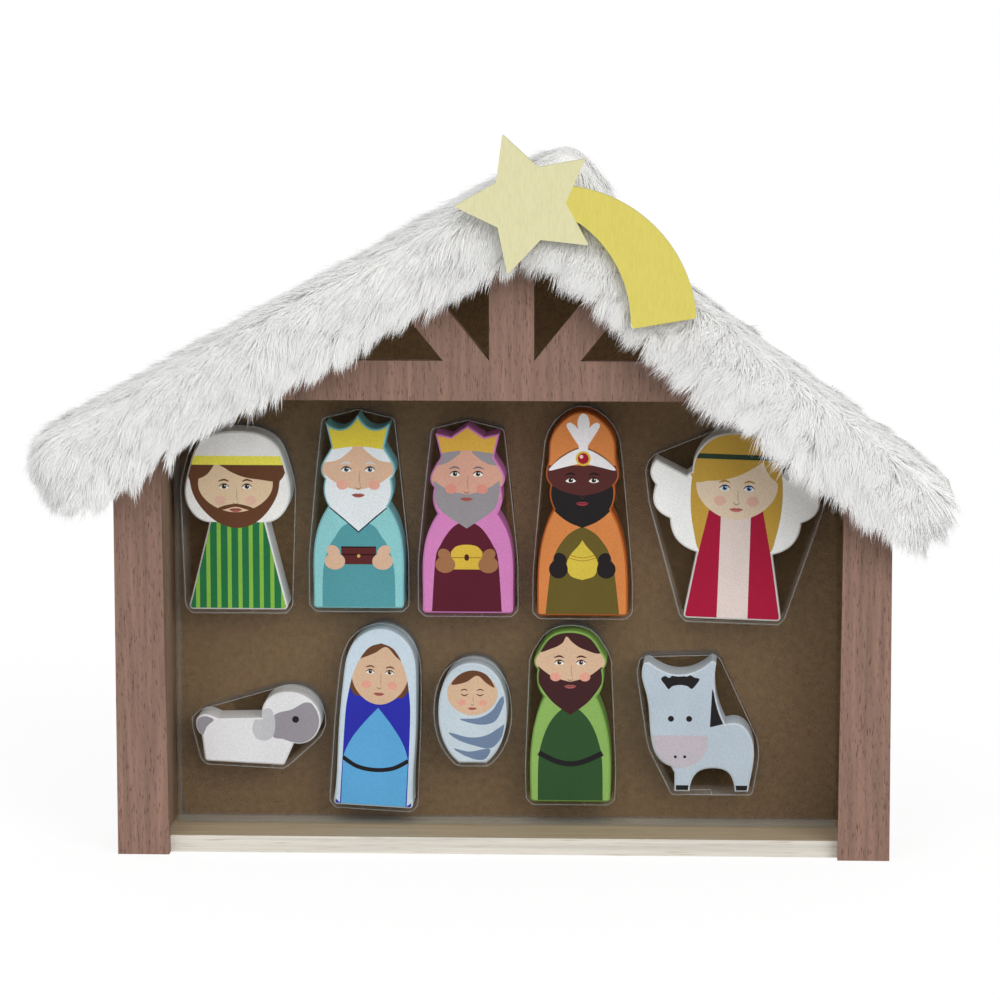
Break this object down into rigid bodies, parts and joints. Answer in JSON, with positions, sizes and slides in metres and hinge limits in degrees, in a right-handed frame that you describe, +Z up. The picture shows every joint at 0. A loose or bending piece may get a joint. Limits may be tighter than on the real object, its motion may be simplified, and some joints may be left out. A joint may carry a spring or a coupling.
{
  "type": "wooden nativity stable",
  "caption": "Wooden stable with a pitched roof under white fur, a shooting star, and a clear tray whose pockets hold flat painted nativity figures that lift out to the front.",
  "frame": {"origin": "middle of the footprint, on the surface that the stable stands on", "axes": "+Z up, the open front faces -Y, +X to the viewer's right"},
  "size_m": [0.3007, 0.0556, 0.2387],
  "materials": {
    "pine": "bare sawn pine",
    "brown_board": "brown painted hardboard",
    "stained_ply": "brown stained plywood, grain upright",
    "white_fur": "long white pile",
    "star_paint": "matt pale yellow print, deeper yellow tail",
    "clear_film": "clear glossy film",
    "brad_steel": "bright steel",
    "paint_shepherd": "matt printed wood",
    "paint_king_teal": "matt printed wood",
    "paint_king_pink": "matt printed wood",
    "paint_king_orange": "matt printed wood",
    "paint_angel": "matt printed wood",
    "paint_sheep": "matt printed wood",
    "paint_mother": "matt printed wood",
    "paint_baby": "matt printed wood",
    "paint_father": "matt printed wood",
    "paint_donkey": "matt printed wood"
  },
  "bodies": {
    "stable": {"floor_board": "pine", "left_wall": "pine", "right_wall": "pine", "left_roof_board": "pine", "right_roof_board": "pine", "back_panel": "brown_board", "left_post": "stained_ply", "right_post": "stained_ply", "gable_truss": "stained_ply", "left_fur": "white_fur", "right_fur": "white_fur", "shooting_star": "star_paint", "roof_brads": "brad_steel", "panel_brads": "brad_steel", "floor_brads": "brad_steel"},
    "tray": {"blister_tray": "clear_film"},
    "shepherd": {"figure_shepherd": "paint_shepherd"},
    "king_teal": {"figure_king_teal": "paint_king_teal"},
    "king_pink": {"figure_king_pink": "paint_king_pink"},
    "king_orange": {"figure_king_orange": "paint_king_orange"},
    "angel": {"figure_angel": "paint_angel"},
    "sheep": {"figure_sheep": "paint_sheep"},
    "mother": {"figure_mother": "paint_mother"},
    "baby": {"figure_baby": "paint_baby"},
    "father": {"figure_father": "paint_father"},
    "donkey": {"figure_donkey": "paint_donkey"}
  },
  "joints": [
    {"name": "tray_slide", "type": "slide", "parent": "stable", "child": "tray", "axis": [0, -1, 0], "range_m": [0, 0.07]},
    {"name": "shepherd_lift_out", "type": "slide", "parent": "tray", "child": "shepherd", "axis": [0, -1, 0], "range_m": [0, 0.06]},
    {"name": "king_teal_lift_out", "type": "slide", "parent": "tray", "child": "king_teal", "axis": [0, -1, 0], "range_m": [0, 0.06]},
    {"name": "king_pink_lift_out", "type": "slide", "parent": "tray", "child": "king_pink", "axis": [0, -1, 0], "range_m": [0, 0.06]},
    {"name": "king_orange_lift_out", "type": "slide", "parent": "tray", "child": "king_orange", "axis": [0, -1, 0], "range_m": [0, 0.06]},
    {"name": "angel_lift_out", "type": "slide", "parent": "tray", "child": "angel", "axis": [0, -1, 0], "range_m": [0, 0.06]},
    {"name": "sheep_lift_out", "type": "slide", "parent": "tray", "child": "sheep", "axis": [0, -1, 0], "range_m": [0, 0.06]},
    {"name": "mother_lift_out", "type": "slide", "parent": "tray", "child": "mother", "axis": [0, -1, 0], "range_m": [0, 0.06]},
    {"name": "baby_lift_out", "type": "slide", "parent": "tray", "child": "baby", "axis": [0, -1, 0], "range_m": [0, 0.06]},
    {"name": "father_lift_out", "type": "slide", "parent": "tray", "child": "father", "axis": [0, -1, 0], "range_m": [0, 0.06]},
    {"name": "donkey_lift_out", "type": "slide", "parent": "tray", "child": "donkey", "axis": [0, -1, 0], "range_m": [0, 0.06]}
  ]
}
